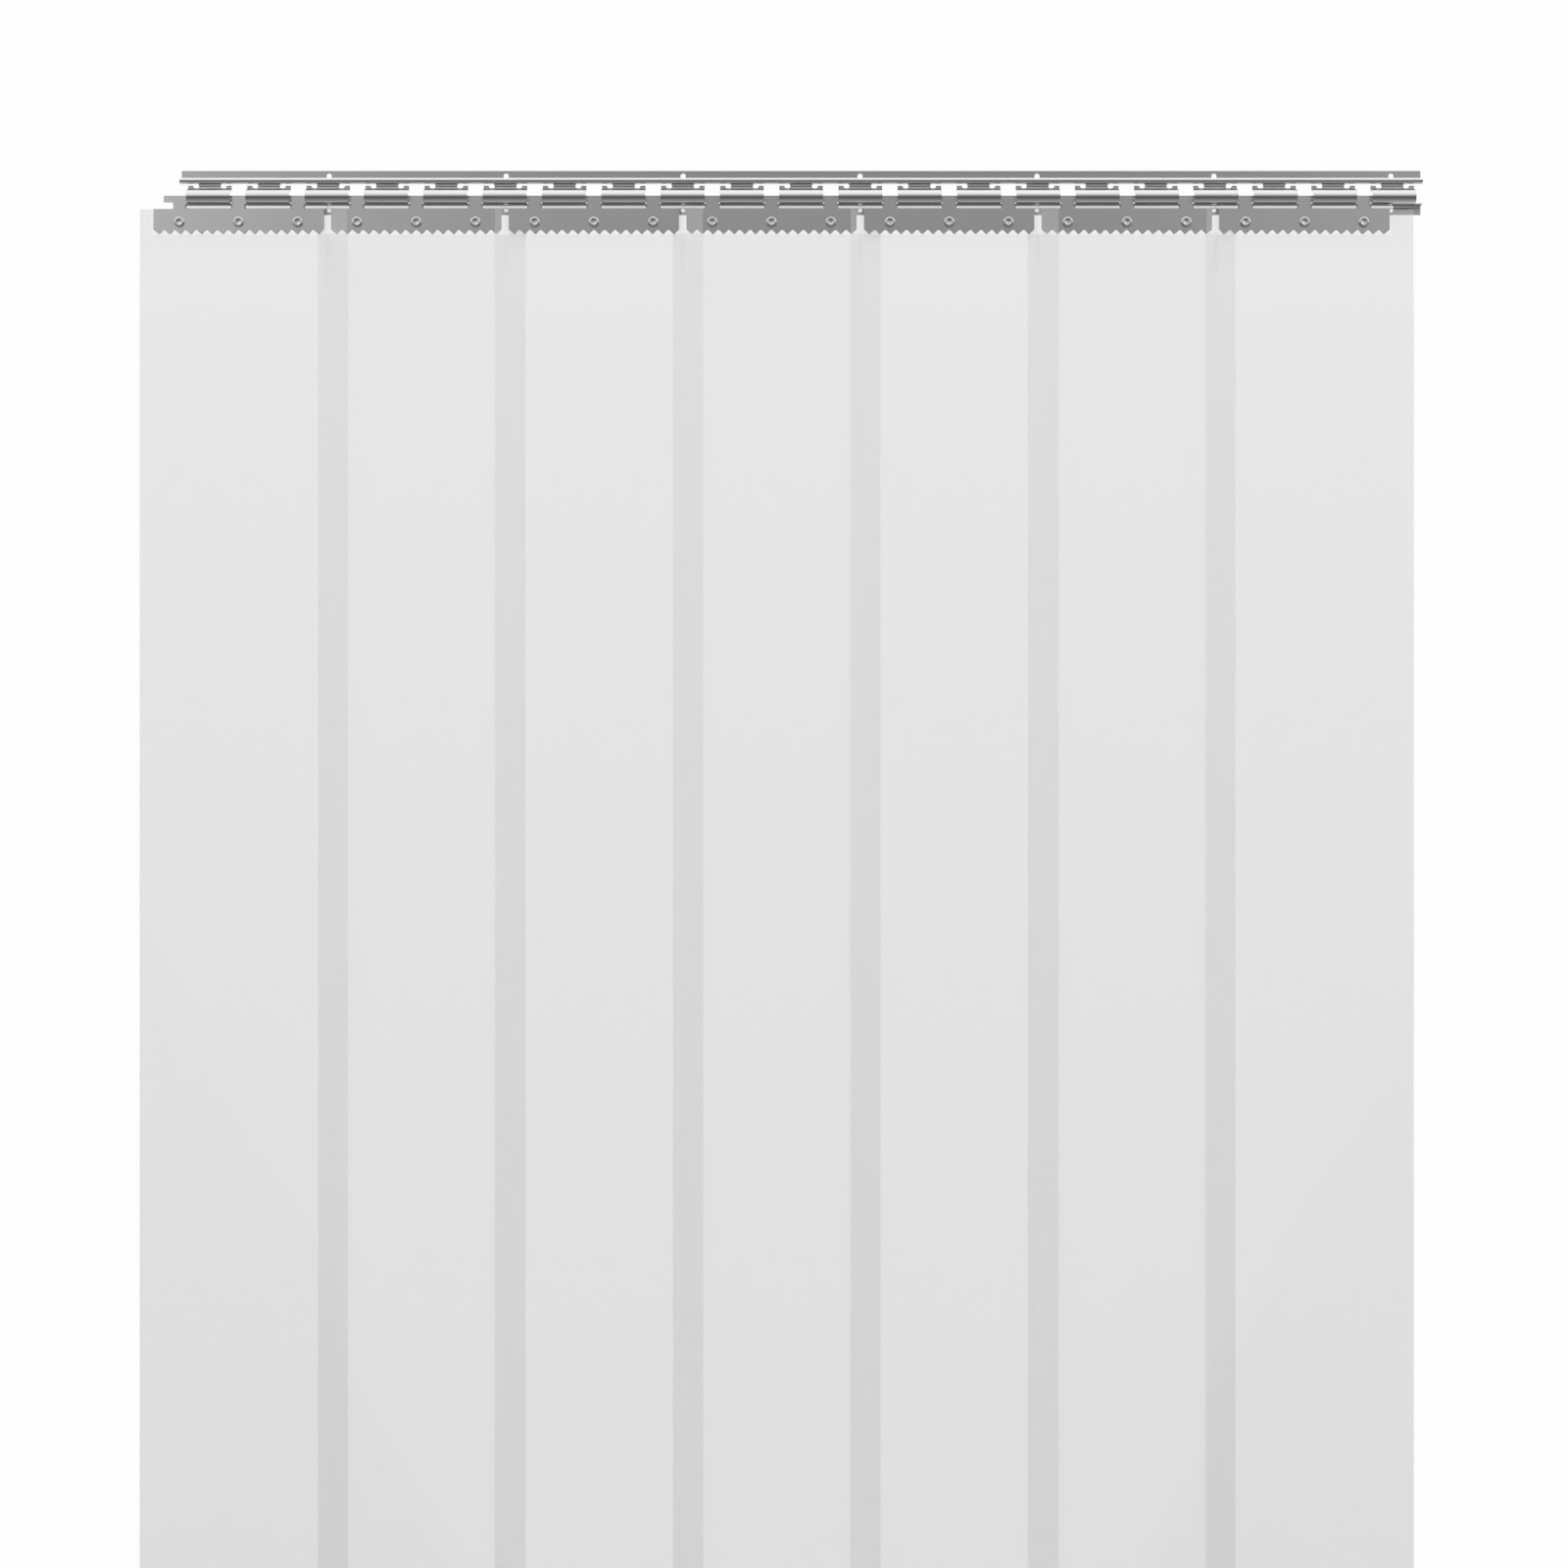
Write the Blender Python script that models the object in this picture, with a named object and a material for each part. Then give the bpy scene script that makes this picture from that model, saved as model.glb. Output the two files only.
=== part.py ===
"""A PVC strip curtain: overlapping strips in riveted clamp plates, hooked into a slotted stainless rail.

The rail is one roll-formed sheet. Its upper and lower flanges lie on the wall, which is the plane y = 0, and
its rounded noses stand out towards -Y. T-slots part the noses. The front plate of each strip hooks its
T-tabs into those slots and swings on the trough inside the noses.

Places are written as (x, depth, drop): depth is the distance out from the wall, and drop is the distance
below the top edge of the rail. All lengths are in metres.
"""

import math

import bmesh
import bpy
from mathutils import Matrix

# Strips
STRIP_COUNT = 7
STRIP_WIDTH = 0.200
STRIP_OVERLAP = 0.029
STRIP_THICKNESS = 0.002
STRIP_LENGTH = 2.000
STRIP_SHIFT = 0.005
STRIP_TOP_INSET = 0.0003
STRIP_PLANE_SHIFT = 0.002
RELAX_GAP = 0.001
RELAX_LENGTH = 0.083
RELAX_ROWS = 4

# Rail sheet and its section, from the top edge down
SHEET = 0.0012
UPPER_FLANGE_HEIGHT = 0.0086
UPPER_ROOT_RADIUS = 0.002
BEAD_RADIUS = 0.00265
NECK_HEIGHT = 0.0063
NOSE_REACH = 0.0025
NOSE_RADIUS = 0.00705
LOWER_ROOT_RADIUS = 0.0019
LOWER_FLANGE_HEIGHT = 0.0083
BEND_STEP = math.radians(30)

# T-slots and screw holes of the rail
SLOTS_PER_STRIP = 3
SLOT_STEM_CLEARANCE = 0.0015
SLOT_BAR_CLEARANCE = 0.003
SLOT_BAR_HEIGHT = 0.0017
SLOT_BAR_TOP_GAP = 0.0002
SLOT_HOOK_WIDTH = 0.0046
SLOT_HOOK_DROP = 0.0024
SLOT_BACK_RUN = 0.003
FIRST_HOLE_NOSE = 3
UPPER_HOLE_DIAMETER = 0.0052
UPPER_HOLE_DROP = 0.0051
LOWER_HOLE_DIAMETER = 0.0042
LOWER_HOLE_RISE = 0.0046

# Clamp plates, with their tabs and teeth
PLATE_THICKNESS = 0.001
PLATE_GAP = 0.007
PLATE_TOP_GAP = 0.0046
PLATE_HEIGHT = 0.0206
TAB_NECK_WIDTH = 0.012
TAB_BAR_WIDTH = 0.030
TAB_BAR_HEIGHT = 0.0066
TAB_BACK_CLEARANCE = 0.0005
TAB_SEAT_GAP = 0.0004
TOOTH_COUNT = 16
TOOTH_DEPTH = 0.0037
TOOTH_WIDTH_SHARE = 0.86
TOOTH_ARC_STEPS = 3

# Rivets
RIVET_DROP = 0.0126
RIVET_SHANK_DIAMETER = 0.0044
RIVET_HEAD_DIAMETER = 0.010
RIVET_HEAD_HEIGHT = 0.0017
RIVET_TAIL_DIAMETER = 0.0078
RIVET_TAIL_HEIGHT = 0.0014
RIVET_CROWN_SHARE = 0.72
RIVET_RIM_SHARE = 0.35
RIVET_DIMPLE_SHARE = 0.28
RIVET_DIMPLE_DEPTH_SHARE = 0.5
RIVET_LAP_CLEARANCE = 0.004
ROUND_STEPS = 8

# Gap between pieces that touch, how far a cutter runs past what it cuts, and limits of the meshes
GAP = 0.0003
OVERRUN = 0.002
MERGE_DISTANCE = 0.00001
SMOOTH_ANGLE = math.radians(40)

# Spacing along the rail
STRIP_PITCH = STRIP_WIDTH - STRIP_OVERLAP
SLOT_PITCH = STRIP_PITCH / SLOTS_PER_STRIP
SLOT_COUNT = STRIP_COUNT * SLOTS_PER_STRIP + 1
RAIL_LENGTH = (SLOT_COUNT - 1) * SLOT_PITCH
RAIL_LEFT = -RAIL_LENGTH / 2
PLATE_WIDTH = STRIP_PITCH - PLATE_GAP
TOOTH_PITCH = PLATE_WIDTH / TOOTH_COUNT

# Drops of the rail section
BEAD_BOTTOM_DROP = UPPER_FLANGE_HEIGHT + 2 * BEAD_RADIUS
NOSE_TOP_DROP = BEAD_BOTTOM_DROP + NECK_HEIGHT
NOSE_CENTRE_DROP = NOSE_TOP_DROP + NOSE_RADIUS
NOSE_BOTTOM_DROP = NOSE_CENTRE_DROP + NOSE_RADIUS
RAIL_HEIGHT = NOSE_BOTTOM_DROP + LOWER_FLANGE_HEIGHT
LOWER_HOLE_DROP = RAIL_HEIGHT - LOWER_HOLE_RISE

# Depths of the rail section: a tab bar pushed level through a slot stays off the wall
NECK_BEND_RADIUS = (NECK_HEIGHT + SHEET) / 2
NECK_BACK_DEPTH = TAB_BAR_HEIGHT + TAB_BACK_CLEARANCE
BEAD_CENTRE_DEPTH = NECK_BACK_DEPTH + SHEET / 2 + NECK_BEND_RADIUS
HANG_DEPTH = BEAD_CENTRE_DEPTH + NOSE_REACH
NOSE_FRONT_DEPTH = HANG_DEPTH + NOSE_RADIUS

# T-slots, cut round the tabs
SLOT_STEM_WIDTH = TAB_NECK_WIDTH + 2 * SLOT_STEM_CLEARANCE
SLOT_BAR_WIDTH = TAB_BAR_WIDTH + 2 * SLOT_BAR_CLEARANCE
SLOT_TOP_DROP = BEAD_BOTTOM_DROP + SLOT_BAR_TOP_GAP
SLOT_BAR_BOTTOM_DROP = SLOT_TOP_DROP + SLOT_BAR_HEIGHT
SLOT_HOOK_BOTTOM_DROP = SLOT_BAR_BOTTOM_DROP + SLOT_HOOK_DROP
SLOT_BACK_DEPTH = HANG_DEPTH - SLOT_BACK_RUN

# Hanging plates: the tab bar swings on the inner bottom of the trough
PIVOT_DROP = NOSE_BOTTOM_DROP - SHEET - TAB_SEAT_GAP
PLATE_TOP_DROP = NOSE_BOTTOM_DROP + PLATE_TOP_GAP
VALLEY_DROP = PLATE_TOP_DROP + PLATE_HEIGHT
TIP_DROP = VALLEY_DROP + TOOTH_DEPTH
RIVET_CENTRE_DROP = PLATE_TOP_DROP + RIVET_DROP
RIVET_HOLE_DIAMETER = RIVET_SHANK_DIAMETER + 2 * GAP

# The outer rivets stay clear of the neighbour's margin, which laps over the edge of the plates
MARGIN_LAP = STRIP_WIDTH / 2 + STRIP_SHIFT - PLATE_WIDTH / 2 - PLATE_GAP
RIVET_SPACING = PLATE_WIDTH / 2 - MARGIN_LAP - RIVET_HEAD_DIAMETER / 2 - RIVET_LAP_CLEARANCE

# Depths of the clamped stack, from the wall out
LAYER_STEP = (STRIP_THICKNESS + PLATE_THICKNESS) / 2 + GAP
CLAMP_DEPTH = HANG_DEPTH - LAYER_STEP
BACK_PLATE_DEPTH = CLAMP_DEPTH - LAYER_STEP
FRONT_MARGIN_DEPTH = HANG_DEPTH + LAYER_STEP
REAR_MARGIN_DEPTH = BACK_PLATE_DEPTH - LAYER_STEP
HEAD_SEAT_DEPTH = HANG_DEPTH + PLATE_THICKNESS / 2 + GAP
TAIL_SEAT_DEPTH = BACK_PLATE_DEPTH - PLATE_THICKNESS / 2 - GAP

# Strip levels
STRIP_TOP_DROP = PLATE_TOP_DROP + STRIP_TOP_INSET
RELAX_START_DROP = TIP_DROP + RELAX_GAP
FLEX_DROP = RELAX_START_DROP + RELAX_LENGTH
STRIP_BOTTOM_DROP = STRIP_TOP_DROP + STRIP_LENGTH

STEEL_COLOUR = (0.56, 0.56, 0.57, 1.0)
PVC_COLOUR = (0.78, 0.79, 0.80, 1.0)


def clear_scene():
    """Remove every object that the scene starts with."""
    for thing in list(bpy.data.objects):
        bpy.data.objects.remove(thing, do_unlink=True)


def make_material(name, colour, roughness, metallic, alpha):
    """Return a Principled material."""
    material = bpy.data.materials.new(name)
    material.use_nodes = True
    shader = material.node_tree.nodes["Principled BSDF"]
    shader.inputs["Base Color"].default_value = colour
    shader.inputs["Roughness"].default_value = roughness
    shader.inputs["Metallic"].default_value = metallic
    shader.inputs["Alpha"].default_value = alpha
    return material


def place(x, depth, drop):
    """Return world coordinates: the wall is y = 0 and the line of upper screw holes is z = 0."""
    return (x, -depth, UPPER_HOLE_DROP - drop)


def hung(x, depth, drop):
    """Return coordinates in the frame of a hanger, whose origin lies on the line that it swings about."""
    return (x, HANG_DEPTH - depth, PIVOT_DROP - drop)


def finish_mesh(name, shape, smooth_angle=None):
    """Turn a bmesh into a closed mesh with its faces pointing out, shaded smooth up to the given angle."""
    bmesh.ops.recalc_face_normals(shape, faces=shape.faces)
    mesh = bpy.data.meshes.new(name)
    shape.to_mesh(mesh)
    shape.free()
    if smooth_angle is not None:
        mesh.shade_smooth()
        mesh.set_sharp_from_angle(angle=smooth_angle)
    return mesh


def add_object(name, mesh, material=None, parent=None, location=(0.0, 0.0, 0.0)):
    """Link a mesh into the scene as an object, below its parent if it has one."""
    thing = bpy.data.objects.new(name, mesh)
    bpy.context.scene.collection.objects.link(thing)
    thing.location = location
    thing.parent = parent
    if material is not None and not mesh.materials:
        mesh.materials.append(material)
    return thing


def extruded(outline, offset):
    """Return a bmesh of a flat outline pushed along the offset vector."""
    shape = bmesh.new()
    face = shape.faces.new([shape.verts.new(point) for point in outline])
    result = bmesh.ops.extrude_face_region(shape, geom=[face], use_keep_orig=True)
    moved = [item for item in result["geom"] if isinstance(item, bmesh.types.BMVert)]
    bmesh.ops.translate(shape, verts=moved, vec=offset)
    return shape


def cut(thing, cutter):
    """Take a cutter's shape out of an object and keep the cutter as a guide only."""
    cutter.hide_render = True
    cutter.display_type = "WIRE"
    step = thing.modifiers.new("cut_" + cutter.name, "BOOLEAN")
    step.operation = "DIFFERENCE"
    step.solver = "EXACT"
    step.object = cutter


class SectionPen:
    """Draws a bent sheet in section, as the two faces of the sheet on either side of its middle line."""

    def __init__(self, depth, drop, heading):
        self.depth = depth
        self.drop = drop
        self.heading = heading
        self.left = []
        self.right = []
        self.mark()

    def mark(self):
        """Add a point to each face, square to the heading."""
        across = (-math.sin(self.heading) * SHEET / 2, -math.cos(self.heading) * SHEET / 2)
        self.left.append((self.depth + across[0], self.drop + across[1]))
        self.right.append((self.depth - across[0], self.drop - across[1]))

    def run(self, length):
        """Draw a flat stretch."""
        self.depth += length * math.cos(self.heading)
        self.drop -= length * math.sin(self.heading)
        self.mark()

    def bend(self, radius, angle):
        """Draw a bend of the middle line, to the left for a positive angle."""
        side = math.copysign(1.0, angle)
        centre_depth = self.depth - side * radius * math.sin(self.heading)
        centre_drop = self.drop - side * radius * math.cos(self.heading)
        steps = math.ceil(abs(angle) / BEND_STEP)
        for _ in range(steps):
            self.heading += angle / steps
            self.depth = centre_depth + side * radius * math.sin(self.heading)
            self.drop = centre_drop + side * radius * math.cos(self.heading)
            self.mark()

    def outline(self):
        """Return the closed section as (depth, drop) pairs."""
        return self.left + self.right[::-1]


def rail_section():
    """Return the section of the rail: flange, bead, neck, nose, and flange again."""
    half = SHEET / 2
    quarter = math.pi / 2
    upper_bend = UPPER_ROOT_RADIUS + half
    lower_bend = LOWER_ROOT_RADIUS + half
    pen = SectionPen(half, 0.0, -quarter)
    pen.run(UPPER_FLANGE_HEIGHT + half - upper_bend)
    pen.bend(upper_bend, quarter)
    pen.run(BEAD_CENTRE_DEPTH - half - upper_bend)
    pen.bend(BEAD_RADIUS - half, -math.pi)
    pen.bend(NECK_BEND_RADIUS, math.pi)
    pen.run(NOSE_REACH)
    pen.bend(NOSE_RADIUS - half, -math.pi)
    pen.run(HANG_DEPTH - half - lower_bend)
    pen.bend(lower_bend, quarter)
    pen.run(LOWER_FLANGE_HEIGHT + half - lower_bend)
    return pen.outline()


def slot_x(index):
    """Return the place of a T-slot along the rail, where 0 is the half slot at the left end."""
    return RAIL_LEFT + index * SLOT_PITCH


def repeat_along_rail(thing, count, pitch):
    """Repeat a cutter along the rail."""
    array = thing.modifiers.new("repeat", "ARRAY")
    array.count = count
    array.use_relative_offset = False
    array.use_constant_offset = True
    array.constant_offset_displace = (pitch, 0.0, 0.0)


def slot_cutter():
    """Make the cutter of the slot's bar, its two hooked ends and the stem as far as the nose's middle."""
    stem = SLOT_STEM_WIDTH / 2
    bar = SLOT_BAR_WIDTH / 2
    hook = bar - SLOT_HOOK_WIDTH
    right = [
        (bar, SLOT_TOP_DROP),
        (bar, SLOT_HOOK_BOTTOM_DROP),
        (hook, SLOT_HOOK_BOTTOM_DROP),
        (hook, SLOT_BAR_BOTTOM_DROP),
        (stem, SLOT_BAR_BOTTOM_DROP),
        (stem, NOSE_CENTRE_DROP),
    ]
    outline = right + [(-x, drop) for x, drop in reversed(right)]
    back = NECK_BACK_DEPTH - OVERRUN
    front = NOSE_FRONT_DEPTH + OVERRUN
    points = [place(slot_x(0) + x, back, drop) for x, drop in outline]
    shape = extruded(points, (0.0, back - front, 0.0))
    return add_object("slot_cutter", finish_mesh("slot_cutter", shape))


def stem_cutter():
    """Make the cutter of the stem's lower half, which stops short of the lower flange."""
    stem = SLOT_STEM_WIDTH / 2
    front = NOSE_FRONT_DEPTH + OVERRUN
    top = NOSE_CENTRE_DROP - OVERRUN
    bottom = NOSE_BOTTOM_DROP + OVERRUN
    corners = [(-stem, top), (stem, top), (stem, bottom), (-stem, bottom)]
    points = [place(slot_x(0) + x, SLOT_BACK_DEPTH, drop) for x, drop in corners]
    shape = extruded(points, (0.0, SLOT_BACK_DEPTH - front, 0.0))
    return add_object("stem_cutter", finish_mesh("stem_cutter", shape))


def hole_cutter(name, diameter, centres, length):
    """Make a cutter of round holes through depth, centred on the given points."""
    shape = bmesh.new()
    for centre in centres:
        turn = Matrix.Translation(centre) @ Matrix.Rotation(math.pi / 2, 4, "X")
        bmesh.ops.create_cone(shape, cap_ends=True, segments=ROUND_STEPS, radius1=diameter / 2,
                              radius2=diameter / 2, depth=length, matrix=turn)
    return add_object(name, finish_mesh(name, shape))


def make_rail(steel):
    """Make the hanging rail with its T-slots and its two rows of screw holes."""
    start = [place(RAIL_LEFT, depth, drop) for depth, drop in rail_section()]
    mesh = finish_mesh("hanging_rail", extruded(start, (RAIL_LENGTH, 0.0, 0.0)), SMOOTH_ANGLE)
    rail = add_object("hanging_rail", mesh, steel)
    for cutter in (slot_cutter(), stem_cutter()):
        repeat_along_rail(cutter, SLOT_COUNT, SLOT_PITCH)
        cut(rail, cutter)
    first_hole_x = slot_x(FIRST_HOLE_NOSE) - SLOT_PITCH / 2
    rows = (("upper_hole_cutter", UPPER_HOLE_DIAMETER, UPPER_HOLE_DROP),
            ("lower_hole_cutter", LOWER_HOLE_DIAMETER, LOWER_HOLE_DROP))
    for name, diameter, drop in rows:
        centre = place(first_hole_x, SHEET / 2, drop)
        cutter = hole_cutter(name, diameter, [centre], SHEET + 2 * OVERRUN)
        repeat_along_rail(cutter, STRIP_COUNT, STRIP_PITCH)
        cut(rail, cutter)


def tooth_points():
    """Return the serrated lower edge as (x, drop) pairs, from the right end to the left."""
    points = []
    reach = TOOTH_PITCH * TOOTH_WIDTH_SHARE / 2
    for tooth in reversed(range(TOOTH_COUNT)):
        middle = (tooth + 0.5) * TOOTH_PITCH - PLATE_WIDTH / 2
        for step in range(TOOTH_ARC_STEPS + 1):
            angle = math.pi * step / TOOTH_ARC_STEPS
            points.append((middle + reach * math.cos(angle), VALLEY_DROP + TOOTH_DEPTH * math.sin(angle)))
    return points


def tab_points(middle):
    """Return one T-tab as (x, drop) pairs, from its left foot over the bar to its right foot."""
    neck = TAB_NECK_WIDTH / 2
    bar = TAB_BAR_WIDTH / 2
    top = PIVOT_DROP - TAB_BAR_HEIGHT
    right = [(bar, top), (bar, PIVOT_DROP), (neck, PIVOT_DROP), (neck, PLATE_TOP_DROP)]
    left = [(-x, drop) for x, drop in reversed(right)]
    return [(middle + x, drop) for x, drop in left + right]


def tab_centres():
    """Return the places of the tabs from a plate's middle."""
    middle = (SLOTS_PER_STRIP - 1) / 2
    return [(index - middle) * SLOT_PITCH for index in range(SLOTS_PER_STRIP)]


def rivet_centres():
    """Return the places of the rivets from a plate's middle, each with its side."""
    return [(-RIVET_SPACING, "left"), (0.0, "middle"), (RIVET_SPACING, "right")]


def plate_mesh(name, depth, with_tabs):
    """Make a clamp plate: flat sheet with a serrated lower edge, with or without the hanging tabs."""
    half = PLATE_WIDTH / 2
    outline = [(-half, VALLEY_DROP), (-half, PLATE_TOP_DROP)]
    if with_tabs:
        for middle in tab_centres():
            outline += tab_points(middle)
    outline += [(half, PLATE_TOP_DROP), (half, VALLEY_DROP)]
    outline += tooth_points()
    back = depth - PLATE_THICKNESS / 2
    points = [hung(x, back, drop) for x, drop in outline]
    return finish_mesh(name, extruded(points, (0.0, -PLATE_THICKNESS, 0.0)))


def rivet_mesh():
    """Turn a rivet about its own axis: set tail, shank, and domed head with a dimple."""
    crown = HEAD_SEAT_DEPTH + RIVET_HEAD_HEIGHT
    head = RIVET_HEAD_DIAMETER / 2
    tail = RIVET_TAIL_DIAMETER / 2
    shank = RIVET_SHANK_DIAMETER / 2
    profile = [
        (0.0, TAIL_SEAT_DEPTH - RIVET_TAIL_HEIGHT),
        (tail, TAIL_SEAT_DEPTH - RIVET_TAIL_HEIGHT),
        (tail, TAIL_SEAT_DEPTH),
        (shank, TAIL_SEAT_DEPTH),
        (shank, HEAD_SEAT_DEPTH),
        (head, HEAD_SEAT_DEPTH),
        (head, HEAD_SEAT_DEPTH + RIVET_HEAD_HEIGHT * RIVET_RIM_SHARE),
        (head * RIVET_CROWN_SHARE, crown),
        (head * RIVET_DIMPLE_SHARE, crown),
        (0.0, crown - RIVET_HEAD_HEIGHT * RIVET_DIMPLE_DEPTH_SHARE),
    ]
    shape = bmesh.new()
    ring = [shape.verts.new(hung(radius, depth, PIVOT_DROP)) for radius, depth in profile]
    edges = [shape.edges.new(pair) for pair in zip(ring, ring[1:])]
    bmesh.ops.spin(shape, geom=ring + edges, cent=(0.0, 0.0, 0.0), axis=(0.0, 1.0, 0.0),
                   angle=2 * math.pi, steps=ROUND_STEPS, use_merge=True)
    bmesh.ops.remove_doubles(shape, verts=shape.verts, dist=MERGE_DISTANCE)
    return finish_mesh("rivet", shape, SMOOTH_ANGLE)


def strip_columns(margin_depth, left_free, right_free):
    """Return a strip's section at the plates as (x, depth) pairs, from its left edge to its right.

    The strip lies flat between its plates. Where it laps a neighbour, its margin steps over or behind the
    neighbour's plates inside the gap between them. A free margin stays flat.
    """
    half = PLATE_WIDTH / 2
    left_margin = CLAMP_DEPTH if left_free else margin_depth
    right_margin = CLAMP_DEPTH if right_free else margin_depth
    inner = half + GAP
    outer = half + PLATE_GAP - GAP
    return [
        (STRIP_SHIFT - STRIP_WIDTH / 2, left_margin),
        (-outer, left_margin),
        (-inner, CLAMP_DEPTH),
        (inner, CLAMP_DEPTH),
        (outer, right_margin),
        (STRIP_SHIFT + STRIP_WIDTH / 2, right_margin),
    ]


def head_rows():
    """Return the levels of a strip's head as (drop, share) pairs: share 0 is clamped and 1 hangs flat."""
    rows = [(STRIP_TOP_DROP, 0.0), (RELAX_START_DROP, 0.0)]
    for step in range(1, RELAX_ROWS + 1):
        along = step / RELAX_ROWS
        rows.append((RELAX_START_DROP + (RELAX_LENGTH - GAP / 2) * along, along * along * (3 - 2 * along)))
    return rows


def strip_head_mesh(name, margin_depth, plane_depth, left_free, right_free):
    """Make the top of a strip: clamped section above, easing to a flat sheet at the flex line."""
    columns = strip_columns(margin_depth, left_free, right_free)
    half = STRIP_THICKNESS / 2
    shape = bmesh.new()
    faces_of_sheet = []
    for side in (-half, half):
        grid = []
        for drop, share in head_rows():
            row = []
            for x, depth in columns:
                eased = depth + (plane_depth - depth) * share
                row.append(shape.verts.new(hung(x, eased + side, drop)))
            grid.append(row)
        for upper, lower in zip(grid, grid[1:]):
            for column in range(len(columns) - 1):
                corners = (upper[column], upper[column + 1], lower[column + 1], lower[column])
                shape.faces.new(corners)
        faces_of_sheet.append([edge for edge in shape.edges if edge.is_boundary])
    back_rim = faces_of_sheet[0]
    front_rim = [edge for edge in faces_of_sheet[1] if edge not in back_rim]
    bmesh.ops.bridge_loops(shape, edges=back_rim + front_rim)
    return finish_mesh(name, shape)


def strip_mesh(name, outward):
    """Make the free length of a strip, below a flex line that runs along the face it folds towards."""
    half = STRIP_WIDTH / 2
    length = STRIP_BOTTOM_DROP - FLEX_DROP
    corners = [(-half, -GAP / 2), (half, -GAP / 2), (half, -length), (-half, -length)]
    points = [(x, 0.0, z) for x, z in corners]
    return finish_mesh(name, extruded(points, (0.0, outward * STRIP_THICKNESS, 0.0)))


def make_hanger(index, steel, pvc, shared):
    """Make one strip with its plates and rivets, hung from its three slots.

    Strips lap in turn: the first, third and so on lie in front of their neighbours at both margins, and
    the others lie behind, so that each can swing by itself, away from its neighbours.
    """
    number = index + 1
    in_front = index % 2 == 0
    outward = 1.0 if in_front else -1.0
    margin_depth = FRONT_MARGIN_DEPTH if in_front else REAR_MARGIN_DEPTH
    plane_depth = CLAMP_DEPTH + outward * STRIP_PLANE_SHIFT
    middle_x = slot_x(index * SLOTS_PER_STRIP + (SLOTS_PER_STRIP - 1) / 2)

    pivot = add_object(f"hanger_pivot_{number}", None, location=place(middle_x, HANG_DEPTH, PIVOT_DROP))
    front = add_object(f"front_plate_{number}", shared["front_plate"], steel, pivot)
    back = add_object(f"back_plate_{number}", shared["back_plate"], steel, pivot)
    is_first = index == 0
    is_last = index == STRIP_COUNT - 1
    head = add_object(
        f"strip_head_{number}",
        strip_head_mesh(f"strip_head_{number}", margin_depth, plane_depth, is_first, is_last),
        pvc, pivot)

    centres = [hung(x, CLAMP_DEPTH, RIVET_CENTRE_DROP) for x, _ in rivet_centres()]
    length = 2 * (LAYER_STEP + PLATE_THICKNESS + OVERRUN)
    holes = hole_cutter(f"rivet_hole_cutter_{number}", RIVET_HOLE_DIAMETER, centres, length)
    holes.parent = pivot
    for clamped in (front, back, head):
        cut(clamped, holes)

    for x, side in rivet_centres():
        seat = (x, 0.0, PIVOT_DROP - RIVET_CENTRE_DROP)
        add_object(f"rivet_{number}_{side}", shared["rivet"], steel, pivot, seat)

    flex_line = hung(STRIP_SHIFT, plane_depth + outward * STRIP_THICKNESS / 2, FLEX_DROP)
    add_object(f"strip_{number}", strip_mesh(f"strip_{number}", outward), pvc, pivot, flex_line)


def main():
    """Build the curtain."""
    clear_scene()
    steel = make_material("brushed_stainless", STEEL_COLOUR, 0.32, 1.0, 1.0)
    pvc = make_material("clear_pvc", PVC_COLOUR, 0.2, 0.0, 0.68)
    make_rail(steel)
    shared = {
        "front_plate": plate_mesh("front_plate", HANG_DEPTH, True),
        "back_plate": plate_mesh("back_plate", BACK_PLATE_DEPTH, False),
        "rivet": rivet_mesh(),
    }
    for index in range(STRIP_COUNT):
        make_hanger(index, steel, pvc, shared)


main()
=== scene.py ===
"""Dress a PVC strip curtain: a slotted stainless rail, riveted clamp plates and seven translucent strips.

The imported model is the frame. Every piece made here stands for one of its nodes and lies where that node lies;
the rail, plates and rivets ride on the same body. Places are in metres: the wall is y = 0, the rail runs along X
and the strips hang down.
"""

import logging
import math
from collections.abc import Callable, Iterator, Sequence
from contextlib import contextmanager
from dataclasses import dataclass, field
from enum import Enum
from itertools import pairwise

import bmesh
import bpy
from mathutils import Matrix, Vector


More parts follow.
